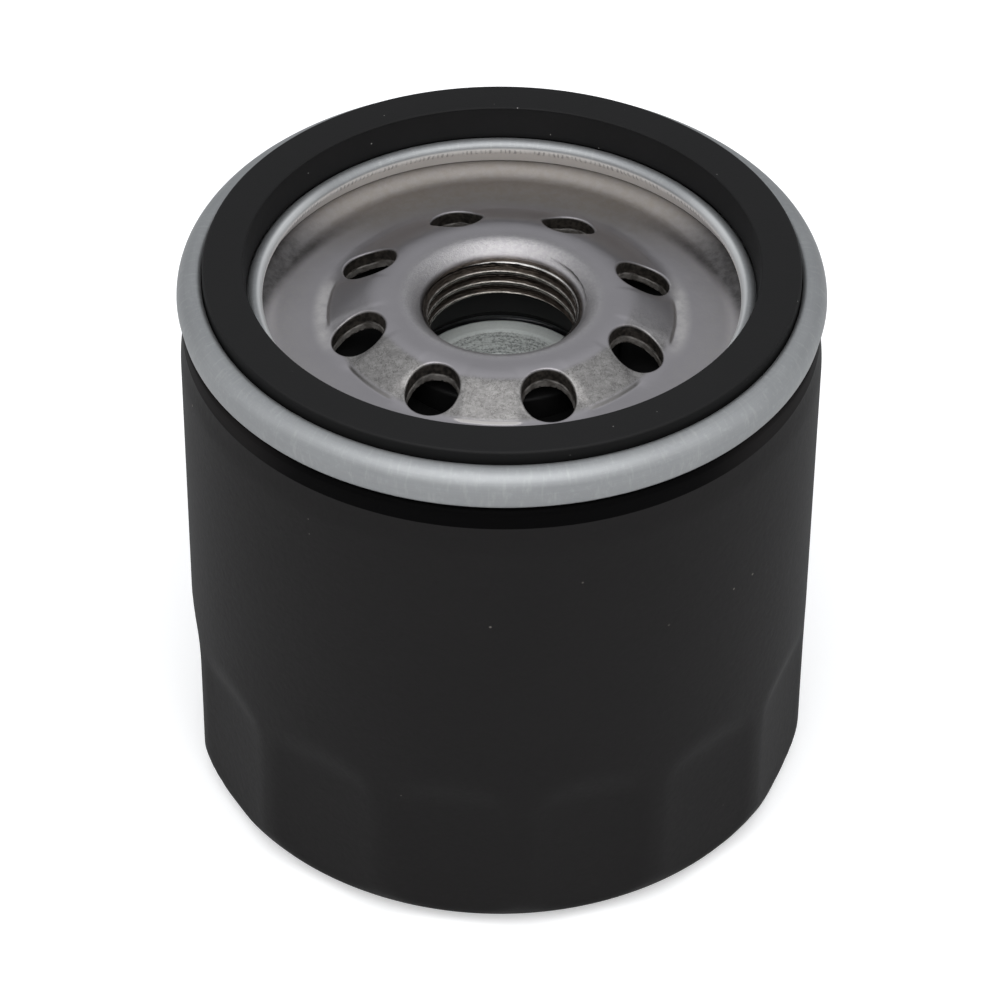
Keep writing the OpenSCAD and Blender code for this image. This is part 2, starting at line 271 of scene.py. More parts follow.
def grid_faces(rows, cols, close_rows=False, close_cols=True, keep=None):
    """Quads over a grid of points. keep(row, col) says which quads are there."""
    faces = []
    for i in range(rows if close_rows else rows - 1):
        for j in range(cols if close_cols else cols - 1):
            if keep is None or keep(i, j):
                i1, j1 = (i + 1) % rows, (j + 1) % cols
                faces.append((i * cols + j, i * cols + j1, i1 * cols + j1, i1 * cols + j))
    return faces


def spun_rows(angles, outline, radius_at=None):
    """The outline turned about Z, a row for each point. radius_at(radius, height, angles) changes it."""
    rows = []
    for r, z in outline:
        radii = r + 0 * angles if radius_at is None else radius_at(r, z, angles)
        rows.append(np.stack([radii * np.cos(angles), radii * np.sin(angles), z + 0 * angles], -1))
    return rows


def spun_mesh(name, outline, columns, radius_at=None, keep=None, close_rows=False):
    points = np.concatenate(spun_rows(np.arange(columns) * TURN / columns, outline, radius_at))
    return mesh_object(name, points, grid_faces(len(outline), columns, close_rows, keep=keep))


def spun_solid(name, outline, columns=ROUND):
    """A closed outline turned about Z."""
    return spun_mesh(name, outline, columns, close_rows=True)


def thicken(piece, sheet, bevel=0.0):
    """Gives an open surface the thickness of a sheet, half to each side. bevel rounds its edges."""
    solid = piece.modifiers.new("sheet", "SOLIDIFY")
    solid.thickness = sheet * MM
    solid.offset = 0
    solid.use_even_offset = True
    if bevel:
        edges = piece.modifiers.new("round", "BEVEL")
        edges.width = bevel * MM
        edges.segments = 2
        edges.limit_method = "ANGLE"
        edges.angle_limit = math.radians(50)
    graph = bpy.context.evaluated_depsgraph_get()
    mesh = bpy.data.meshes.new_from_object(piece.evaluated_get(graph))
    piece.modifiers.clear()
    piece.data = mesh
    tidy(piece)
    return piece


def spun_sheet(name, path, sheet, columns=ROUND, radius_at=None, keep=None, bevel=0.0):
    """A sheet bent along a path and turned about Z. keep(row, col) leaves openings in it."""
    return thicken(spun_mesh(name, path, columns, radius_at, keep), sheet, bevel)


def upright_sheet(name, path, node, rows, sheet, bevel=0.0):
    """A sheet that stands on a path in the (x, y) plane, as high as the node."""
    heights = np.linspace(foot_of(node), top_of(node), rows)
    points = [(x, y, z) for x, y in path for z in heights]
    faces = grid_faces(len(path), rows, close_cols=False)
    return thicken(mesh_object(name, points, faces), sheet, bevel)


def coil(name, mean_r, wire, foot, top, turns, per_turn=60, sides=16):
    """A coil spring with closed ends, each end finished with a flat cut across the wire."""
    closed, rise = 0.75, wire * 1.02
    climb = top - foot - wire
    t = np.linspace(0, turns, round(turns * per_turn) + 1)[:, None]
    lift = np.interp(t, [0, closed, turns - closed, turns], [0, closed * rise, climb - closed * rise, climb])
    b = np.arange(sides) * TURN / sides
    r = mean_r + wire / 2 * np.cos(b)
    z = foot + wire / 2 + lift + wire / 2 * np.sin(b)
    points = np.stack([r * np.cos(TURN * t), r * np.sin(TURN * t), z], -1).reshape(-1, 3)
    faces = grid_faces(len(t), sides)
    faces += [tuple(range(sides)), tuple(range(len(points) - sides, len(points)))]
    return mesh_object(name, points, faces, 50)


# ---- materials


class Nodes:
    """A node tree. Most methods add a node and return its output socket."""

    def __init__(self, tree):
        self.tree = tree

    def node(self, kind, **inputs):
        node = self.tree.nodes.new(kind)
        for key, value in inputs.items():
            self.feed(node.inputs[key.replace("_", " ")], value)
        return node

    def feed(self, socket, value):
        """Links a socket, or sets it to a number or a colour of three or four numbers."""
        if isinstance(value, bpy.types.NodeSocket):
            self.tree.links.new(value, socket)
        elif socket.type == "RGBA":
            socket.default_value = (*value[:3], 1)
        else:
            socket.default_value = value

    def math(self, operation, a, b=0.0, kind="ShaderNodeMath"):
        node = self.tree.nodes.new(kind)
        node.operation = operation
        self.feed(node.inputs[0], a)
        self.feed(node.inputs[1], b)
        return node.outputs[0]

    def add(self, a, b):
        return self.math("ADD", a, b)

    def mul(self, value, *others):
        for other in others:
            value = self.math("MULTIPLY", value, other)
        return value

    def ramp(self, value, low, high):
        """Maps value smoothly between two (value, result) pairs, and holds the result beyond them."""
        node = self.node("ShaderNodeMapRange", Value=value, From_Min=low[0], From_Max=high[0],
                         To_Min=low[1], To_Max=high[1])
        node.interpolation_type = "SMOOTHSTEP"
        return node.outputs["Result"]

    def between(self, value, low, high, soft):
        """1 where value lies between low and high, falling to 0 over soft."""
        return self.mul(self.ramp(value, (low - soft, 0), (low + soft, 1)),
                        self.ramp(value, (high - soft, 1), (high + soft, 0)))

    def seen(self):
        """1 for what the camera sees directly, 0 for reflected light."""
        return self.node("ShaderNodeLightPath").outputs["Is Camera Ray"]

    def mix(self, factor, a, b):
        """Colours a and b mixed; each is three numbers or a socket."""
        node = self.tree.nodes.new("ShaderNodeMix")
        node.data_type = "RGBA"
        for index, value in ((0, factor), (6, a), (7, b)):
            self.feed(node.inputs[index], value)
        return node.outputs[2]


class Shader(Nodes):
    """One procedural material, with the place, radius and angle of a point in millimetres and radians."""

    def __init__(self, name, specular=0.5):
        self.name = name
        self.material = bpy.data.materials.new(name)
        self.material.use_nodes = True
        super().__init__(self.material.node_tree)
        self.surface = self.tree.nodes["Principled BSDF"].inputs
        self.surface["Specular IOR Level"].default_value = specular
        self.place = self.node("ShaderNodeTexCoord").outputs["Object"]
        self.place = self.scaled(*(1 / MM,) * 3)
        self.xyz = self.node("ShaderNodeSeparateXYZ", Vector=self.place).outputs
        flat = self.math("LENGTH", self.scaled(1, 1, 0), (0, 0, 0), "ShaderNodeVectorMath")
        self.radius = flat.node.outputs["Value"]
        self.angle = self.math("ARCTAN2", self.xyz[1], self.xyz[0])

    def scaled(self, x, y, z):
        """The place in millimetres with each axis scaled."""
        return self.math("MULTIPLY", self.place, (x, y, z), "ShaderNodeVectorMath")

    def round_place(self, across=1.0, around=1.0, up=1.0):
        """Coordinates that follow the turning direction: radius, angle and height, each scaled."""
        spun = self.node("ShaderNodeCombineXYZ", X=self.mul(self.radius, across),
                         Y=self.mul(self.angle, around), Z=self.mul(self.xyz[2], up))
        return spun.outputs[0]

    def noise(self, scale, detail=4.0, roughness=0.55, place=None):
        """Cloudy noise from 0 to 1; scale is features per millimetre."""
        node = self.node("ShaderNodeTexNoise", Vector=place or self.place, Scale=scale, Detail=detail,
                         Roughness=roughness)
        return node.outputs["Fac"]

    def specks(self, scale, size, cloud, high):
        """Sparse round spots, 1 inside and 0 outside, in loose groups. size is in cells."""
        node = self.node("ShaderNodeTexVoronoi", Vector=self.place, Scale=scale)
        spots = self.ramp(node.outputs["Distance"], (size * 0.6, 1), (size, 0))
        return self.mul(spots, self.ramp(self.noise(cloud, 1), (0.5, 0), (high, 1)))

    def over(self, body, *layers):
        """The body colour with each (share, colour) layer mixed over it in turn."""
        for share, colour in layers:
            body = self.mix(share, body, colour)
        return body

    def colour(self, value):
        self.feed(self.surface["Base Color"], value)

    def total(self, socket, base, *terms):
        """Feeds a socket of the surface with the base plus each (value, weight) product."""
        for value, weight in terms:
            base = self.add(self.mul(value, weight), base)
        self.feed(self.surface[socket], base)

    def bumps(self, *layers):
        """Stacks bump layers, each (height socket, depth in millimetres)."""
        normal = None
        for height, depth in layers:
            node = self.node("ShaderNodeBump", Distance=depth * MM, Height=height)
            if normal is not None:
                self.feed(node.inputs["Normal"], normal)
            normal = node.outputs["Normal"]
        self.feed(self.surface["Normal"], normal)


def can_paint():
    """Satin black enamel with a few pale specks."""
    s = Shader("can_paint", specular=0.2)
    fine = s.noise(1.6, 2)
    body = s.mix(s.noise(0.08, 3), (0.0048, 0.0042, 0.0043), (0.0066, 0.0058, 0.0059))
    s.colour(s.mix(s.specks(0.22, 0.045, 0.15, 0.6), body, (0.12, 0.11, 0.1)))
    s.total("Roughness", 0.55, (fine, 0.08))
    s.bumps((s.noise(0.9, 2), 0.03), (fine, 0.012))
    return s


def neck_painted_shade():
    """The same enamel under the seam, painted deep black with hardly any gloss as painted shade of the seam;
    away from the front it fades to plain paint.
    """
    s = Shader("neck_painted_shade", specular=0.03)
    streaks = s.noise(1.0, 3, place=s.round_place(1.0, 6.0, 4.0))
    # Painted shade: a near-black streaked tone under the seam, fading to plain paint away from the front.
    marked = s.mix(streaks, (0.0008, 0.0008, 0.0009), (0.002, 0.0019, 0.002))
    s.colour(s.mix(s.ramp(s.xyz[1], *NECK_SHADE_FADE), marked, (0.011, 0.01, 0.01)))
    s.total("Roughness", 0.55, (streaks, 0.1))
    s.bumps((streaks, 0.01))
    return s


def zinc_sheet():
    """Zinc plating on drawn sheet: fine turning lines, soft clouds, a cream wall inside the bead, and a
    painted highlight on the bead's inner edge at the left and right.
    """
    s = Shader("zinc_sheet")
    lines = s.noise(1.0, 4, 0.65, place=s.round_place(7.0, 2.5, 7.0))
    cloud = s.noise(0.12, 4)
    fine = s.noise(1.5, 4, 0.7)
    brushed = s.noise(1.0, 3, 0.6, place=s.round_place(0.35, 70.0, 0.35))
    inner = s.math("LESS_THAN", s.add(s.radius, s.mul(s.xyz[2], LIP_SLOPE)), INNER_SIDE)
    wave = s.math("SINE", s.add(s.mul(s.angle, KNURLS), s.mul(s.noise(0.7, 3), 9.0)))
    ticks = s.mul(s.ramp(wave, (0.1, 0), (0.8, 1)), s.ramp(s.noise(0.5, 3), (0.35, 0.1), (0.6, 1)),
                  s.between(s.xyz[2], *KNURL_Z, 0.12), inner)
    wall = s.mul(s.ramp(s.xyz[2], (68.6, 1), (68.9, 0)), inner)
    # Painted highlight: the bead's inner edge is painted light at the left and right sides only.
    sides = s.ramp(s.math("ABSOLUTE", s.xyz[0]), (20.0, 0), (27.0, 1))
    edge = s.mul(s.between(s.radius, 28.2, 28.95, 0.2), sides)
    s.colour(s.over(
        s.mix(cloud, (0.318, 0.326, 0.334), (0.4, 0.41, 0.414)),
        (s.ramp(lines, (0.38, 0.3), (0.62, 0)), (0.31, 0.32, 0.33)),
        (s.ramp(fine, (0.5, 0), (0.75, 0.2)), (0.55, 0.565, 0.57)),
        (s.ramp(brushed, (0.52, 0), (0.72, 0.14)), (0.68, 0.68, 0.66)),
        (s.mul(edge, 0.8), (0.85, 0.86, 0.86)),
        (s.mul(wall, 0.85), (0.7, 0.67, 0.645)),
        (s.mul(ticks, 0.75), (0.3, 0.29, 0.285)),
    ))
    s.total("Metallic", 0.82, (wall, -0.6))
    s.total("Roughness", 0.43, (cloud, 0.1), (lines, 0.08))
    s.bumps((lines, 0.012), (ticks, 0.05))
    return s


def plate_steel():
    """Bare pressed steel, slightly oiled: satin hub, coined facets, cut thread, punched hole walls."""
    s = Shader("plate_steel")
    y, z = s.xyz[1], s.xyz[2]
    radius = s.radius
    cloud = s.noise(0.16, 5)
    grain = s.noise(2.2, 4)
    worn = s.noise(0.9, 5, 0.7)

    # Where things are: 1 inside, 0 outside
    pressed = s.ramp(y, (-9.0, 1), (1.0, 0.1))
    front = s.ramp(y, (-10.0, 1), (-7.0, 0))
    back = s.ramp(y, (10.0, 0), (22.0, 1))
    holes = s.math("DIVIDE", s.math("SUBTRACT", s.angle, INLET_TURN), INLET_SLICE)
    from_hole = s.math("SUBTRACT", s.math("FRACT", s.add(holes, INLETS + 0.5)), 0.5)
    coined = s.ramp(s.math("ABSOLUTE", from_hole), (0.22, 0), (0.3, 1))
    slope = s.mul(s.between(radius, HUB_R + 0.3, SLOPE_R - 0.1, 0.4), pressed)
    # Painted shade on the step below the coined facets' outer edge, at the front.
    ridge = s.mul(s.between(radius, SLOPE_R - 0.05, SLOPE_R + 0.3, 0.12), coined, pressed)
    # Painted highlight: a light patch just beyond the facets' step, at the left and right.
    side_highlight = s.mul(s.between(radius, SLOPE_R + 0.2, SLOPE_R + 1.8, 0.7),
                  s.ramp(s.math("ABSOLUTE", y), (3.5, 1), (9.0, 0)))
    # Darker, warmer tone towards the back of the plate, beyond radius 20.5.
    back_tone = s.mul(back, s.ramp(radius, (20.5, 0), (23.0, 1)))
    outer = s.ramp(radius, (21.0, 0), (26.0, 1))
    dull = s.ramp(radius, (26.2, 0), (27.4, 1))
    # Painted shade on the plate beside the bead, at the left and right, away from the front and back.
    side_shade = s.mul(s.ramp(s.add(radius, s.mul(y, 0.2)), (27.1, 0), (29.0, 1)),
                  s.ramp(y, (-6.0, 0), (2.0, 1)), s.math("SUBTRACT", 1.0, back))
    thread = s.mul(s.ramp(radius, (9.5, 1), (9.9, 0)), s.ramp(z, (66.2, 1), (67.2, 0)))
    mouth = s.mul(s.between(radius, 9.2, 11.9, 0.7), s.math("SUBTRACT", 1.0, thread))
    # Painted highlights: a thin light line at the thread's upper edge, and a light band on the mouth's rim at
    # the front.
    thread_edge_highlight = s.mul(s.between(radius, MOUTH_EDGE_R - 0.08, MOUTH_EDGE_R + 0.05, 0.04),
                        s.ramp(z, (65.75, 0), (65.9, 1)))
    rim = s.math("MAXIMUM", s.mul(s.between(radius, 10.0, 10.7, 0.15), front), thread_edge_highlight)
    hole_wall = s.node("ShaderNodeAttribute")
    hole_wall.attribute_name = "hole_wall"
    down = hole_wall.outputs["Fac"]
    inside = s.ramp(down, (0.0, 0), (0.06, 1))
    ragged = s.add(down, s.mul(s.math("SUBTRACT", s.noise(0.8, 3), 0.5), 0.12))
    burnished = s.ramp(ragged, (CUT_FROM - 0.02, 0), (CUT_FROM + 0.06, 1))

    # Facets: scuffed, pitted and scratched
    scratches = s.noise(1.0, 4, 0.7, place=s.scaled(0.7, 3.5, 1.0))
    marked = s.ramp(s.add(s.mul(worn, 0.6), s.mul(scratches, 0.4)), (0.4, 0), (0.62, 1))
    pits = s.ramp(s.noise(3.2, 3, 0.8), (0.42, 0.55), (0.56, 0))
    marks = s.between(s.noise(1.0, 5, 0.8, place=s.scaled(0.55, 0.35, 1.0)), 0.485, 0.5, 0.008)
    facet = s.over(
        s.mix(marked, (0.275, 0.266, 0.26), (0.365, 0.355, 0.345)),
        (s.mul(pits, 0.5), (0.14, 0.135, 0.13)),
        (s.mul(marks, 0.75), (0.05, 0.046, 0.042)),
    )

    # Thread: crests painted light as painted highlights, flanks painted near-black as painted shade in the
    # grooves
    turned = s.noise(1.0, 4, 0.7, place=s.round_place(3.0, 9.0, 9.0))
    crest_highlight = s.mix(s.ramp(turned, (0.35, 0), (0.65, 1)), (0.16, 0.148, 0.13), (0.48, 0.45, 0.42))
    flank_shade = s.mix(s.ramp(turned, (0.3, 0), (0.7, 1)), (0.012, 0.009, 0.007), (0.07, 0.057, 0.047))
    cut = s.mix(s.ramp(radius, (8.8, 0), (8.98, 1)), crest_highlight, flank_shade)

    # Walls of the holes: torn above, burnished below; the near-black of the torn part is also painted shade
    # inside the holes
    torn = s.mix(s.ramp(grain, (0.35, 0), (0.65, 1)), (0.006, 0.005, 0.004), (0.04, 0.034, 0.029))
    smooth = s.mix(s.ramp(worn, (0.35, 0), (0.65, 1)), (0.07, 0.063, 0.057), (0.17, 0.16, 0.15))

    s.colour(s.over(
        s.mix(cloud, (0.345, 0.33, 0.345), (0.4, 0.385, 0.4)),
        (s.mul(outer, s.ramp(grain, (0.35, 0.1), (0.7, 0.6))), (0.4, 0.385, 0.375)),
        (slope, facet),
        (s.mul(ridge, 0.9), (0.2, 0.193, 0.187)),
        (s.mul(side_highlight, s.ramp(worn, (0.3, 0.5), (0.65, 0.95))), (0.62, 0.6, 0.59)),
        (s.mul(back_tone, s.ramp(worn, (0.3, 0.55), (0.7, 1))), (0.32, 0.293, 0.265)),
        (s.mul(side_shade, s.ramp(worn, (0.3, 0.72), (0.7, 0.9))), (0.024, 0.0225, 0.021)),
        (s.mul(mouth, s.ramp(grain, (0.4, 0.2), (0.6, 0.6))), (0.46, 0.45, 0.445)),
        (thread, cut),
        (s.mul(rim, 0.7), (0.72, 0.7, 0.68)),
        (inside, s.mix(burnished, torn, smooth)),
    ))
    s.total("Metallic", 1.0, (inside, -0.85), (dull, -0.3))
    s.total("Roughness", 0.3, (cloud, 0.08), (slope, 0.08), (outer, 0.05), (inside, 0.15), (mouth, 0.07),
            (dull, 0.12), (thread, -0.08))
    s.bumps((s.mul(worn, slope), 0.03), (grain, 0.012), (s.noise(0.35, 2), 0.03),
            (s.mul(s.noise(5.0, 3, 0.7), mouth), 0.07), (s.mul(turned, thread), 0.05))
    return s


def rubber(name, shade, roughness, specular, side_r=None):
    """Moulded nitrile with a fine skin. With side_r, dusty, and painted darker beyond that radius as painted
    shade on the outer side.
    """
    s = Shader(name, specular=specular)
    cloud = s.noise(0.25, 3)
    body = s.mix(cloud, (shade * 0.8,) * 3, (shade * 1.2, shade * 1.15, shade * 1.2))
    if side_r:
        body = s.mix(s.specks(0.5, 0.05, 0.3, 0.62), body, (0.35, 0.34, 0.33))
        # Painted shade: the outer side beyond side_r is painted near-black.
        body = s.mix(s.ramp(s.radius, (side_r - 0.15, 0), (side_r, 0.8)), body, (0.0015,) * 3)
    s.colour(body)
    s.total("Roughness", roughness, (cloud, 0.12))
    s.bumps((s.noise(3.0, 3), 0.012), (s.noise(0.6, 2), 0.02))
    return s


def plated_steel(name, dark, light, roughness, metallic=1.0, specks=0.0):
    """Thin plated sheet or wire: drawn lines, cloudy plating and, towards the middle, dark specks."""
    s = Shader(name)
    cloud = s.noise(0.3, 4)
    lines = s.noise(1.0, 3, place=s.round_place(4.0, 2.0, 4.0))
    body = s.mix(cloud, dark, light)
    if specks:
        rings = s.noise(1.0, 2, place=s.round_place(2.6, 0.7, 0.0))
        marks = s.mul(s.ramp(s.noise(3.6, 4, 0.8), (0.46, 0), (0.6, 1)), 0.85)
        marks = s.add(marks, s.ramp(rings, (0.4, 0.1), (0.65, 0.5)))
        spread = s.ramp(s.radius, (8.3, 1), (9.0, 0.12))
        body = s.mix(s.mul(marks, spread, specks), body, tuple(c * 0.3 for c in dark))
    s.colour(body)
    s.total("Metallic", metallic)
    s.total("Roughness", roughness, (cloud, 0.12))
    s.bumps((lines, 0.015), (s.noise(1.8, 3), 0.01))
    return s


def filter_paper():
    """Resin-treated cellulose: fibres, a faint tan cloud and a soft surface."""
    s = Shader("filter_paper", specular=0.2)
    fibre = s.noise(1.0, 5, 0.7, place=s.scaled(3.0, 3.0, 0.8))
    body = s.mix(s.noise(0.15, 3), (0.55, 0.41, 0.19), (0.68, 0.55, 0.3))
    s.colour(s.mix(s.ramp(fibre, (0.4, 0), (0.65, 0.5)), body, (0.8, 0.69, 0.45)))
    s.total("Roughness", 0.8, (fibre, 0.1))
    s.bumps((fibre, 0.06))
    return s


def cast_resin(name, dark, light):
    """Cured potting or sealing compound, slightly glossy and uneven."""
    s = Shader(name, specular=0.4)
    cloud = s.noise(0.35, 4)
    s.colour(s.mix(cloud, dark, light))
    s.total("Roughness", 0.35, (cloud, 0.2))
    s.bumps((s.noise(0.8, 3), 0.08))
    return s


# By name, which is also the slot; the can's second material is painted shade under the seam
MATERIALS = {shader.name: shader.material for shader in (
    can_paint(), neck_painted_shade(), zinc_sheet(), plate_steel(), filter_paper(),
    rubber("gasket_rubber", 0.008, 0.55, 0.2, side_r=GASKET_OUT_R),
    rubber("valve_rubber", 0.005, 0.5, 0.15),
    plated_steel("cap_steel", (0.42, 0.42, 0.43), (0.56, 0.57, 0.58), 0.3),
    plated_steel("tube_steel", (0.38, 0.39, 0.4), (0.52, 0.53, 0.54), 0.36),
    plated_steel("clip_steel", (0.36, 0.37, 0.38), (0.48, 0.49, 0.5), 0.32),
    plated_steel("cage_zinc", (0.58, 0.61, 0.59), (0.68, 0.71, 0.69), 0.5, 0.35, 0.9),
    plated_steel("spring_steel", (0.2, 0.2, 0.21), (0.32, 0.32, 0.33), 0.28),
    cast_resin("potting", (0.3, 0.08, 0.03), (0.45, 0.15, 0.06)),
    cast_resin("seam_compound", (0.08, 0.065, 0.05), (0.14, 0.115, 0.09)),
)}


def finish_piece(piece, node, slot):
    """The piece stands for a CAD node, rides on the same body and wears the slot's material."""
    piece.data.materials.clear()
    piece.data.materials.append(MATERIALS[slot])
    body = next(b for b, nodes in frame["record"]["behaviour"]["bodies"].items() if node in nodes)
    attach(piece, body)
    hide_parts(node)


# ---- the can


def can_radius(r, z, angles):
    """Radius of the can's skin: a drawn cup with slightly hollow flats pressed into its lower end."""
    if r < BODY_R - CORNER_R or z >= FLUTE_END:
        return r + 0 * angles
    slice_angle = TURN / FLUTES
    off = off_middle(angles, FLUTE_TURN - math.pi / 2 + slice_angle / 2, slice_angle)
    over = z - FLUTE_TOP
    run_out = 0.5 * (over + math.sqrt(over * over + RUN_OUT_SOFT)) * (BODY_R - FLAT_R) / FLUTE_RISE
    hollow = FLAT_HOLLOW * (2 * off / slice_angle) ** 2
    flat = (FLAT_R - CAN_WALL / 2 + run_out + hollow) / np.cos(off)
    softness = 0.18 + 0.35 * smoothstep(FLUTE_TOP - 1, FLUTE_TOP + 2, z)
    return soft_min(flat, r + 0 * angles, softness)


def can_shell():
    half = CAN_WALL / 2
    wall_r = BODY_R - half
    top_r = wall_r + CAN_DRAFT
    neck_r = top_r - NECK_IN
    hook_r = (BODY_HOOK_R - CAN_HOOK_R) / 2
    bend_r = 0.6
    dent = BASE_DENT + half
    base = [(0, dent), (5, dent)]
    base += fillet([(9, dent), (10.2, dent), (13.2, half), (15, half)], 2.0, 5, False)
    base += [(22, half), (31, half)]
    corner = arc(wall_r - CORNER_R + half, CORNER_R, CORNER_R - half, -90, 0, 14)
    heights = np.concatenate([np.arange(6, FLUTE_END - 2, 0.75), np.arange(FLUTE_END - 2, NECK_Z[0], 3)])
    wall = [(wall_r + CAN_DRAFT * (z - CORNER_R) / (NECK_Z[0] - CORNER_R), z) for z in heights]
    neck = [(top_r - NECK_IN * smoothstep(*NECK_Z, z), z) for z in np.linspace(*NECK_Z, 12)]
    shoulder = arc(neck_r - bend_r, SHOULDER_Z, bend_r, 0, 80, 6)
    shoulder += arc(CAN_HOOK_R + bend_r, SHOULDER_Z + 2 * bend_r, bend_r, 260, 180, 6)
    hook = arc(CAN_HOOK_R + hook_r, HOOK_BEND_Z, hook_r, 180, 0, 10)
    hook.append((BODY_HOOK_R, HOOK_BEND_Z - 0.85))
    path = base + corner + wall + neck + shoulder + hook
    piece = spun_sheet("can_shell_skin", path, CAN_WALL, FLUTES * 28, can_radius)
    finish_piece(piece, "can_shell", "can_paint")
    # Faces above the band's lower edge wear the painted shade under the seam.
    piece.data.materials.append(MATERIALS["neck_painted_shade"])
    for face in piece.data.polygons:
        face.material_index = int(face.center.z > NECK_BAND_Z * MM)


def retainer_lid():
    half = LID_SHEET / 2
    roll_z = BEAD_TOP - BEAD_ROLL - half
    floor_z = FLANGE_TOP + 0.05 + half
    crest_r = CHUCK_R + CREST_BEND
    crest_z = SEAM_TOP - half
    fold_r = (LEG_R - 0.3 - COVER_HOOK_R) / 2
    roll = arc(BEAD_R, roll_z, BEAD_ROLL, 180 + LIP_TILT, 0, 16)
    r, z = roll[0]
    path = [(r + (z - level) * LIP_SLOPE, level) for level in np.linspace(LIP_END, z - 0.2, 5)] + roll
    path += fillet([path[-1], (31.2, floor_z + 0.05), (33, floor_z)], 0.9, 6, False)[1:]
    path += fillet([(34, floor_z), (CHUCK_R, floor_z), (CHUCK_R, 69)], 0.6, 6, False)[1:]
    path += arc(crest_r, crest_z - CREST_BEND, CREST_BEND, 180, 90, 8)
    path += arc(crest_r, 69.3, LEG_R - crest_r, 84, 0, 16, rz=crest_z - 69.3)
    path += arc(COVER_HOOK_R + fold_r, FOLD_Z, fold_r, 0, -180, 12)
    path.append((COVER_HOOK_R, FOLD_Z + 1.4))
    finish_piece(spun_sheet("retainer_and_seam", path, LID_SHEET), "retainer_lid", "zinc_sheet")


def ring_piece(name, node, r0, rounding, steps, slot):
    """A ring of rectangular section with rounded edges; its other sizes are the node's."""
    low, high, r1 = foot_of(node), top_of(node), radius_of(node)
    outline = fillet([(r0, low), (r1, low), (r1, high), (r0, high)], rounding, steps)
    finish_piece(spun_solid(name, outline), node, slot)


def sealing_gasket():
    """Square-section ring with a thin trimmed flash along its inner upper edge."""
    flash = 0.06
    outline = fillet([
        (GASKET_IN_R + 0.1, GASKET_TOP), (GASKET_IN_R + 0.02, GASKET_TOP - 0.06),
        (GASKET_IN_R - flash, GASKET_TOP - 0.1), (GASKET_IN_R - flash, GASKET_TOP - 0.17),
        (GASKET_IN_R, GASKET_TOP - 0.24),
        (GASKET_IN_R - 0.4, BEAD_TOP + 0.2), (GASKET_IN_R - 0.4, BEAD_TOP - 0.3),
        (31.95, GASKET_FOOT + 0.25), (32.2, GASKET_FOOT), (GASKET_OUT_R - 0.4, GASKET_FOOT),
        (GASKET_OUT_R + 0.04, GASKET_FOOT + 0.8), (GASKET_OUT_R + 0.04, SEAM_TOP - 1.4),
        (GASKET_OUT_R, GASKET_TOP),
    ], [0.08, 0.03, 0.02, 0.02, 0.05, 0.5, 0.3, 0.2, 0.2, 0.3, 0.4, 0.5, 0.42], 6)
    finish_piece(spun_solid("sealing_gasket_ring", outline, 288), "sealing_gasket", "gasket_rubber")


# ---- the tapping plate

HOLE_SLICE = 16  # columns of the mesh across a hole
BRIDGE_SLICE = 22  # columns between two holes
CELL_IN_R, CELL_OUT_R = 13.4, 22.2
RIM = 0.26  # rounding of a hole's upper edge


def hole_half_angle(r):
    """Half the angle of the mesh cell around a hole, narrower beyond the hole."""
    return np.radians(12.8 - 3.3 * smoothstep(18.0, 20.3, r))


def hub_slope(r, foot):
    """Height of the cone between the hub's edge and its foot at SLOPE_R."""
    return HUB_TOP - (r - HUB_R) * (HUB_TOP - foot) / (SLOPE_R - HUB_R)


def plate_top(x, y):
    """Height of the plate's upper face outside the hub's mouth."""
    r = np.hypot(x, y)
    from_bridge = INLET_SLICE / 2 - np.abs(off_middle(np.arctan2(y, x), INLET_TURN, INLET_SLICE))
    coined = 1 - smoothstep(math.radians(9.0), math.radians(12.6), from_bridge)
    coined = coined * (1 - 0.85 * smoothstep(*FACET_FADE_Y, y))
    ring = ANNULUS_TOP + (FLANGE_TOP - ANNULUS_TOP) * smoothstep(STEP_R - 1.1, STEP_R + 1.3, r)
    smooth_side = soft_max(soft_min(hub_slope(r, ANNULUS_TOP), HUB_TOP, 1.0), ring, 0.9)
    pressed_side = soft_min(hub_slope(r, ANNULUS_TOP + FACET_STEP), HUB_TOP, 0.6)
    beyond = smoothstep(SLOPE_R, SLOPE_R + FACET_FOOT, r)
    pressed_side = pressed_side * (1 - beyond) + ring * beyond
    return smooth_side * (1 - coined) + pressed_side * coined


def plate_under(x, y):
    """Height of the plate's lower face outside the boss."""
    slope = hub_slope(np.hypot(x, y), ANNULUS_TOP) - PLATE_T
    return soft_max(soft_min(slope, HUB_TOP - PLATE_T, 0.6), ANNULUS_TOP - PLATE_T, 0.6)


def thread_radius(_, z, angles):
    """Internal 3/4-16 thread, right-handed, opening into the rounded mouth of the hub."""
    turn = (z / PITCH - angles / TURN + 0.5) % 1.0 - 0.5
    groove_z = z - turn * PITCH
    from_crest = PITCH / 2 - np.abs(turn) * PITCH
    depth = np.clip((from_crest - PITCH / 9) * math.sqrt(3), 0, THREAD_MAJOR_R - THREAD_MINOR_R)
    depth *= 1 - smoothstep(*THREAD_END_Z, groove_z)
    rounded = THREAD_MINOR_R + 0.03 + depth
    up = (z - HUB_TOP + MOUTH_H) / MOUTH_H
    if up > 0:
        mark = np.clip(1 - (turn * PITCH / RUN_OUT[0]) ** 2, 0, 1) * RUN_OUT[1]
        mouth = MOUTH_EDGE_R + MOUTH_W * (1 - (1 - up) ** (1 / MOUTH_CURVE))
        mouth = mouth + mark * (1 - smoothstep(*THREAD_END_Z, groove_z))
    else:
        mouth = MOUTH_EDGE_R + up * MOUTH_H
    exit_flare = THREAD_MINOR_R + 0.55 - (z - BOSS_END) * 1.2
    return np.maximum(soft_max(rounded, mouth, 0.05), exit_flare)


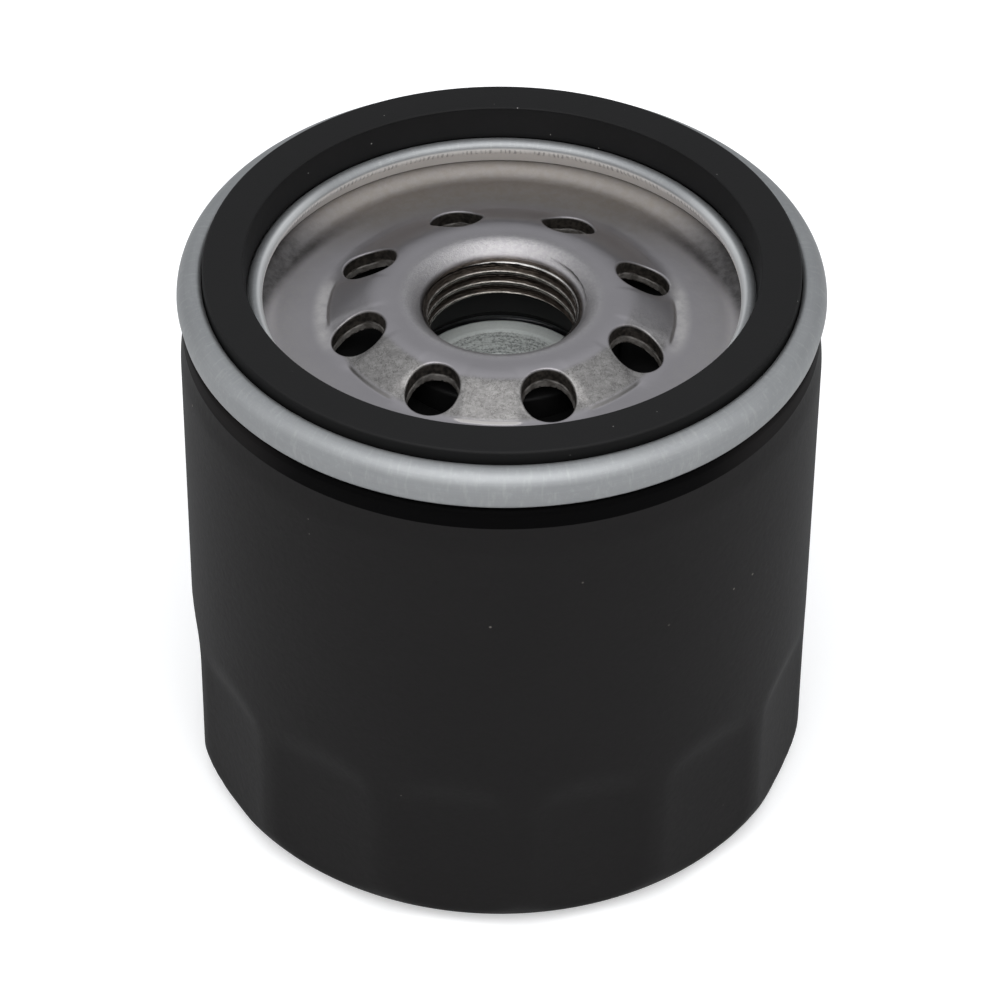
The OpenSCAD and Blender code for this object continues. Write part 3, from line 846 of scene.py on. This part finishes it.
def cell_radii():
    """Radii of the mesh rows through the holes, close together at the coined step."""
    return np.concatenate([
        np.linspace(CELL_IN_R, 20.2, 17)[:-1], np.linspace(20.2, SLOPE_R - 0.03, 3)[:-1],
        np.linspace(SLOPE_R - 0.03, SLOPE_R + FACET_FOOT, 9), np.linspace(21.2, CELL_OUT_R, 4),
    ])


def ring_angles(r):
    """Angles of the mesh columns at radius r, for all holes and bridges in turn."""
    half = float(hole_half_angle(r))
    across = np.linspace(-half, half, HOLE_SLICE + 1)[:-1]
    between = np.linspace(half, INLET_SLICE - half, BRIDGE_SLICE + 1)[:-1]
    one = np.concatenate([across, between])
    return np.concatenate([INLET_TURN + k * INLET_SLICE + one for k in range(INLETS)])


class Patches:
    """Collects points and quads of the plate, with how far down a hole's wall each point is."""

    def __init__(self):
        self.points, self.faces, self.wall = [], [], []

    def add(self, rows, wall=None, close_cols=True):
        start, cols = len(self.points), len(rows[0])
        for row, depth in zip(rows, wall or [0.0] * len(rows)):
            self.points.extend(row)
            self.wall.extend([depth] * cols)
        quads = grid_faces(len(rows), cols, close_cols=close_cols)
        self.faces.extend(tuple(start + i for i in quad) for quad in quads)


def on_plate(height, x, y):
    return np.stack([x, y, height(x, y)], -1)


def around_plate(height, r, angles):
    return on_plate(height, r * np.cos(angles), r * np.sin(angles))


def hole_cell(patches, k, rim_r, height, levels):
    """The plate's face around hole k: rows from the hole's rim out to the cell's border."""
    centre_angle = INLET_TURN + k * INLET_SLICE
    radii = cell_radii()
    half = hole_half_angle(radii)
    low = np.linspace(-half[0], half[0], HOLE_SLICE + 1)
    high = np.linspace(half[-1], -half[-1], HOLE_SLICE + 1)
    border_r = np.concatenate([np.full(HOLE_SLICE, radii[0]), radii[:-1],
                               np.full(HOLE_SLICE, radii[-1]), radii[:0:-1]])
    border_a = np.concatenate([low[:-1], half[:-1], high[:-1], -half[:0:-1]]) + centre_angle
    border = np.stack([border_r * np.cos(border_a), border_r * np.sin(border_a)], -1)
    centre = INLET_RING_R * np.array([math.cos(centre_angle), math.sin(centre_angle)])
    ray = border - centre
    reach = np.linalg.norm(ray, axis=1, keepdims=True)
    ray /= reach
    rim = centre + ray * rim_r
    patches.add([on_plate(height, *(rim + (border - rim) * t).T) for t in levels])
    return centre, ray


def hole_walls(patches, centre, ray):
    """A hole's wall, punched from below: rounded upper edge, torn part, then the narrower cut part."""
    rows, depth = [], []
    for t in np.linspace(0, 1, 6):
        out = RIM * (1 - math.sin(t * math.pi / 2))
        drop = RIM * (1 - math.cos(t * math.pi / 2))
        x, y = (centre + ray * (TORN_R + out)).T
        rows.append(np.stack([x, y, plate_top(x, y) - drop], -1))
        depth.append(0.05 * t)
    x, y = (centre + ray * TORN_R).T
    start = plate_top(x, y) - RIM
    angle = np.arctan2(ray[:, 1], ray[:, 0])
    ragged = 0.03 * np.sin(5 * angle + centre[0]) + 0.02 * np.sin(11 * angle + centre[1])
    levels = np.concatenate([np.linspace(0.1, 0.5, 4), np.linspace(0.54, 0.72, 7), np.linspace(0.8, 1, 3)])
    for t in levels:
        cut = smoothstep(CUT_FROM - 0.03, CUT_FROM + 0.04, t + ragged)
        x, y = (centre + ray * (TORN_R + (CUT_R - TORN_R) * cut)[:, None]).T
        rows.append(np.stack([x, y, start + (plate_under(x, y) - start) * t], -1))
        depth.append(0.05 + 0.95 * t)
    patches.add(rows, wall=depth)


def bridge(patches, k, height):
    """The plate's face between hole k and the next."""
    rows = []
    for r in cell_radii():
        half = float(hole_half_angle(r))
        across = np.linspace(half, INLET_SLICE - half, BRIDGE_SLICE + 1)
        rows.append(around_plate(height, r, INLET_TURN + k * INLET_SLICE + across))
    patches.add(rows, close_cols=False)


def tapping_plate():
    patches = Patches()
    inner, outer = ring_angles(CELL_IN_R), ring_angles(CELL_OUT_R)
    for k in range(INLETS):
        centre, ray = hole_cell(patches, k, TORN_R + RIM, plate_top, np.linspace(0, 1, 12) ** 1.2)
        hole_walls(patches, centre, ray)
        hole_cell(patches, k, CUT_R, plate_under, np.linspace(0, 1, 5))
        bridge(patches, k, plate_top)
        bridge(patches, k, plate_under)

    # Hub face, mouth and thread, inwards and down
    rows = [around_plate(plate_top, r, inner) for r in np.linspace(CELL_IN_R, MOUTH_EDGE_R + MOUTH_W, 5)]
    levels = np.concatenate([HUB_TOP - MOUTH_H * (1 - np.linspace(0.97, 0.4, 16)) ** MOUTH_CURVE,
                             np.linspace(HUB_TOP - MOUTH_H + 1.23, BOSS_END + 0.03, 118)])
    rows += spun_rows(inner, [(0, z) for z in levels], thread_radius)
    rows += spun_rows(inner, [(THREAD_MINOR_R + 0.62, BOSS_END)])
    rows += spun_rows(inner, fillet([(THREAD_MINOR_R + 0.7, BOSS_END), (BOSS_R, BOSS_END),
                                     (BOSS_R, HUB_TOP - PLATE_T), (CELL_IN_R - 0.2, HUB_TOP - PLATE_T)],
                                    0.4, 4, False))
    rows.append(around_plate(plate_under, CELL_IN_R, inner))
    patches.add(rows)

    # Ring outside the holes, flange, edge and back under
    radii = np.concatenate([np.linspace(CELL_OUT_R, 26.5, 6), np.linspace(26.9, 29.3, 18)])
    rows = [around_plate(plate_top, r, outer) for r in radii]
    rows += spun_rows(outer, fillet([
        (30, FLANGE_TOP), (PLATE_R, FLANGE_TOP), (PLATE_R, FLANGE_TOP - PLATE_T),
        (STEP_R + 1.6, FLANGE_TOP - PLATE_T), (STEP_R + 0.8, ANNULUS_TOP - PLATE_T),
        (26.4, ANNULUS_TOP - PLATE_T),
    ], [0, 0.4, 0.5, 0.4, 0.4, 0], 5, False))
    rows.append(around_plate(plate_under, CELL_OUT_R, outer))
    patches.add(rows)

    piece = mesh_object("tapping_plate_steel", patches.points, patches.faces, 55, hole_wall=patches.wall)
    finish_piece(piece, "tapping_plate", "plate_steel")


# ---- valves and element


def antidrain_valve():
    low, high = foot_of("antidrain_neck"), top_of("antidrain_neck")
    grip = BOSS_R + 0.05
    under = BOSS_END - 0.05
    neck = fillet([
        (10.9, low), (14.0, low), (14.0, high - 0.6), (grip, high), (grip, under), (11.2, under),
        (10.9, under - 0.55),
    ], [0.1, 0.5, 0.5, 0.1, 0.1, 0.12, 0.2], 5)
    finish_piece(spun_solid("antidrain_neck_rubber", neck), "antidrain_neck", "valve_rubber")
    top = top_of("antidrain_lip")
    lip = fillet([
        (14.15, 59.3), (15.35, 59.25), (23.0, top - 1.25), (24.6, top - 0.5), (24.6, top),
        (22.4, top), (21.6, top - 0.35), (15.55, 60.6), (14.15, 60.4),
    ], [0.3, 1.0, 0.6, 0.2, 0.15, 0.3, 0.5, 1.0, 0.3], 5)
    finish_piece(spun_solid("antidrain_lip_rubber", lip), "antidrain_lip", "valve_rubber")


def end_caps():
    mid = top_of("upper_end_cap") - THIN / 2
    edge, skirt = CAP_R - THIN / 2, 3
    path = [(r, mid) for r in (11.7, 13, *PORT_R, 18.3, *range(20, 31, 2))]
    path += fillet([(31.0, mid), (edge, mid), (edge, mid - skirt)], 0.9, 6, False)[1:]
    port = 44  # columns of the mesh for each port and the metal beside it

    def keep(row, col):
        between_radii = PORT_R[0] - 0.1 < path[row][0] < PORT_R[1] - 0.1
        return not (between_radii and 5 <= (col + port // 2) % port < port - 5)

    upper = spun_sheet("upper_cap_sheet", path, THIN, PORTS * port, keep=keep, bevel=0.06)
    finish_piece(upper, "upper_end_cap", "cap_steel")
    mid = foot_of("lower_end_cap") + THIN / 2
    raised = mid + 1.2
    path = [(0, raised), (4, raised)]
    path += fillet([(8, raised), (9, raised), (10.5, mid), (13, mid)], 0.8, 5, False)
    path += fillet([(30, mid), (edge, mid), (edge, mid + skirt)], 0.9, 6, False)
    finish_piece(spun_sheet("lower_cap_sheet", path, THIN, bevel=0.06), "lower_end_cap", "cap_steel")


def pleated_media():
    """One sheet of paper folded in and out with round folds, its two ends side by side."""
    out_r, in_r = PLEAT_OUT_R - PAPER_T / 2, PLEAT_IN_R + PAPER_T / 2
    pitch = TURN / PLEATS
    path = [(out_r, END_GAP), (in_r + 1.2, END_GAP)]

    def fold(angle, r, outward):
        """A half circle that joins two legs of a pleat, centred on angle."""
        half = r * math.sin(pitch / 4)
        centre = r - half if outward else r + half
        along = np.array([math.cos(angle), math.sin(angle)])
        across = np.array([-along[1], along[0]])
        side = 1 if outward else -1
        return [tuple(along * (centre + side * half * math.cos(t)) + across * half * math.sin(t))
                for t in np.linspace(-math.pi / 2, math.pi / 2, 9)]

    for k in range(PLEATS):
        path += fold((k + 0.5) * pitch, in_r, False)
        if k < PLEATS - 1:
            path += fold((k + 1) * pitch, out_r, True)
    path += [(in_r + 1.2, -END_GAP), (out_r, -END_GAP)]
    piece = upright_sheet("pleated_paper", path, "pleated_media", 9, PAPER_T)
    finish_piece(piece, "pleated_media", "filter_paper")


def media_clip():
    end = PLEAT_OUT_R - PAPER_T / 2 + 0.05 + THIN / 2
    half = END_GAP + PAPER_T / 2 + 0.05 + THIN / 2
    start = end - 4.7
    path = fillet([(start, half), (end, half), (end, -half), (start, -half)], 0.3, 5, False)
    piece = upright_sheet("paper_clip_strip", path, "media_clip", 7, THIN, bevel=0.08)
    finish_piece(piece, "media_clip", "clip_steel")


def centre_tube():
    """Perforated tube with rows of slots and a rolled-in bead under the cage."""
    mid = radius_of("centre_tube") - THIN / 2
    bead_z = CAGE_FOOT - 1.05
    rows, slots = 8, 10
    slot_half, bead_depth = 0.9, 0.9
    step = (TUBE_TOP + 0.05 - TUBE_FOOT - 8) / (rows - 1)
    heights = [TUBE_FOOT + 4 + i * step for i in range(rows)]
    open_rows = [z for z in heights if abs(z - bead_z) > 2.6]
    path = [(mid, z) for z in (TUBE_FOOT, TUBE_TOP)]
    path += [(mid, z + side * slot_half) for z in open_rows for side in (-1, 1)]
    path += [(mid - bead_depth * math.cos(math.pi * t / 2) ** 2, bead_z + t) for t in np.linspace(-1, 1, 13)]
    path.sort(key=lambda point: point[1])

    def keep(row, col):
        z = (path[row][1] + path[row + 1][1]) / 2
        for i, height in enumerate(heights):
            if height in open_rows and abs(z - height) < slot_half:
                width = ROUND // slots
                at = (col - (i % 2) * width // 2) % width
                return not (at < 4 or at >= width - 4)
        return True

    piece = spun_sheet("centre_tube_sheet", path, THIN, keep=keep, bevel=0.05)
    finish_piece(piece, "centre_tube", "tube_steel")


def bypass_cage():
    """Inverted cup with a rolled rim, a slightly sunk crown and windows in its side."""
    mid = CAGE_R - THIN / 2
    top = CAGE_TOP - THIN / 2
    path = fillet([(CAGE_HOLE_R, top - 0.2), (CAGE_HOLE_R + 0.5, top - 0.12), (8.6, top - 0.12),
                   (9.2, top), (mid, top), (mid, top - 4.4)], [0, 0.3, 0.5, 0.5, 0.55, 0], 7, False)
    window = (CAGE_FOOT + 1.6, CAGE_FOOT + 5.2)
    path += [(mid, window[1]), (mid, window[0])]
    path += fillet([(mid, CAGE_FOOT + 1.2), (mid, CAGE_FOOT + THIN / 2), (18.05, CAGE_FOOT + THIN / 2)],
                   0.6, 6, False)[1:]
    quarter = ROUND // 4

    def keep(row, col):
        in_window = path[row][1] <= window[1] + 0.1 and path[row + 1][1] >= window[0] - 0.1
        return not in_window or abs(col % quarter - quarter // 2) >= 12

    piece = spun_sheet("bypass_cage_cup", path, THIN, keep=keep, bevel=0.05)
    finish_piece(piece, "bypass_cage", "cage_zinc")


def springs():
    """Both coils, each with its own copy of its mesh."""
    for name, node, joint, mean_r, wire, turns in (
        ("element_coil", "element_spring", "element_float", 16.0, 2.0, 3.75),
        ("bypass_coil", "bypass_spring", "bypass_open", 14.2, 1.2, 5.0),
    ):
        low, high = foot_of(node), top_of(node)
        piece = coil(name, mean_r, wire, low, high, turns)
        finish_piece(piece, node, "spring_steel")
        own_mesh(piece)


def spring_cup():
    mid = foot_of("spring_cup") + 1.75
    path = fillet([(11.5, mid + 0.7), (13.2, mid + 0.7), (13.9, mid), (18.3, mid), (18.9, mid - 1.6)],
                  [0, 0.3, 0.3, 0.5, 0], 5, False)
    finish_piece(spun_sheet("spring_cup_sheet", path, THIN, bevel=0.06), "spring_cup", "cap_steel")


# ---- studio

CAMERA_ELEVATION = math.radians(40.37)
CAMERA_ROLL = math.radians(0.506)
CAMERA_DISTANCE = 0.6075
CAMERA_AIM_Z = 0.03631
CAMERA_LENS = 178.6
LIGHT_AIM = Vector((0, 0, 0.05))
LOW_GLOW = 0.36  # brightness of the room near the horizon
HIGH_GLOW = 0.6  # brightness of the room overhead
SEEN_GLOW = 0.7  # what the camera sees beyond the floor
EXPOSURE = 0.35
FLOOR_HALF = 3.0  # half the side of the square floor, in metres
FLOOR_SHADE = 0.95
FLOOR_GLOW = 0.25  # lifts the floor to plain white, seen by the camera only
FLOOR_BOUNCE = 0.7  # what the floor throws back, kept low so that black paint stays black


def camera():
    data = bpy.data.cameras.new("camera")
    data.lens = CAMERA_LENS
    data.sensor_width = 36.0
    cam = add_object("camera", data)
    away = Vector((0, -math.cos(CAMERA_ELEVATION), math.sin(CAMERA_ELEVATION)))
    right = Vector((1, 0, 0))
    up = away.cross(right)
    c, s = math.cos(CAMERA_ROLL), math.sin(CAMERA_ROLL)
    place = Matrix((right * c + up * s, up * c - right * s, away)).transposed().to_4x4()
    place.translation = Vector((0, 0, CAMERA_AIM_Z)) + away * CAMERA_DISTANCE
    cam.matrix_world = place
    bpy.context.scene.camera = cam


def area_light(name, place, size, power):
    data = bpy.data.lights.new(name, "AREA")
    data.shape = "RECTANGLE"
    data.size, data.size_y = size
    data.energy = power
    light = add_object(name, data)
    light.location = place
    light.rotation_euler = (LIGHT_AIM - Vector(place)).to_track_quat("-Z", "Y").to_euler()


def studio():
    floor_mesh = bpy.data.meshes.new("floor")
    corners = ((-1, -1), (1, -1), (1, 1), (-1, 1))
    floor_mesh.from_pydata([(x * FLOOR_HALF, y * FLOOR_HALF, 0) for x, y in corners], [], [(0, 1, 2, 3)])
    floor = add_object("floor", floor_mesh)
    paper = Shader("floor_paper", specular=0.0)
    paper.total("Roughness", 0.9)
    paper.colour(paper.mix(paper.seen(), (FLOOR_BOUNCE,) * 3, (FLOOR_SHADE,) * 3))
    paper.feed(paper.surface["Emission Color"], (1, 1, 1))
    paper.feed(paper.surface["Emission Strength"], paper.mul(paper.seen(), FLOOR_GLOW))
    floor_mesh.materials.append(paper.material)

    world = bpy.data.worlds.new("studio")
    world.use_nodes = True
    room = Nodes(world.node_tree)
    direction = room.node("ShaderNodeTexCoord").outputs["Generated"]
    height = room.node("ShaderNodeSeparateXYZ", Vector=direction).outputs["Z"]
    glow = room.ramp(height, (0.4, LOW_GLOW), (0.95, HIGH_GLOW))
    glow = room.node("ShaderNodeMix", Factor=room.seen(), A=glow, B=SEEN_GLOW).outputs["Result"]
    sky = world.node_tree.nodes["Background"].inputs
    room.feed(sky["Color"], (0.95, 0.97, 1.0))
    room.feed(sky["Strength"], glow)
    bpy.context.scene.world = world
    view = bpy.context.scene.view_settings
    view.view_transform = "Standard"
    view.exposure = EXPOSURE

    area_light("front_box", (0, -0.5, 0.74), (1.1, 0.8), 4.4)
    area_light("left_strip", (-0.8, -0.1, 0.4), (0.25, 0.6), 0.5)
    area_light("right_strip", (0.8, -0.2, 0.4), (0.25, 0.6), 0.5)


camera()
studio()
can_shell()
retainer_lid()
ring_piece("seam_compound_bead", "seam_compound", 36.3, 0.12, 3, "seam_compound")
sealing_gasket()
tapping_plate()
antidrain_valve()
end_caps()
ring_piece("upper_adhesive_ring", "upper_adhesive", PLEAT_IN_R - 0.3, 0.25, 4, "potting")
ring_piece("lower_adhesive_ring", "lower_adhesive", PLEAT_IN_R - 0.3, 0.25, 4, "potting")
pleated_media()
media_clip()
centre_tube()
bypass_cage()
ring_piece("bypass_ring_disc", "bypass_ring", CAGE_R + 0.7, 0.12, 3, "tube_steel")
ring_piece("bypass_seal_facing", "bypass_seal", CAGE_R + 0.3, 0.22, 4, "valve_rubber")
springs()
spring_cup()
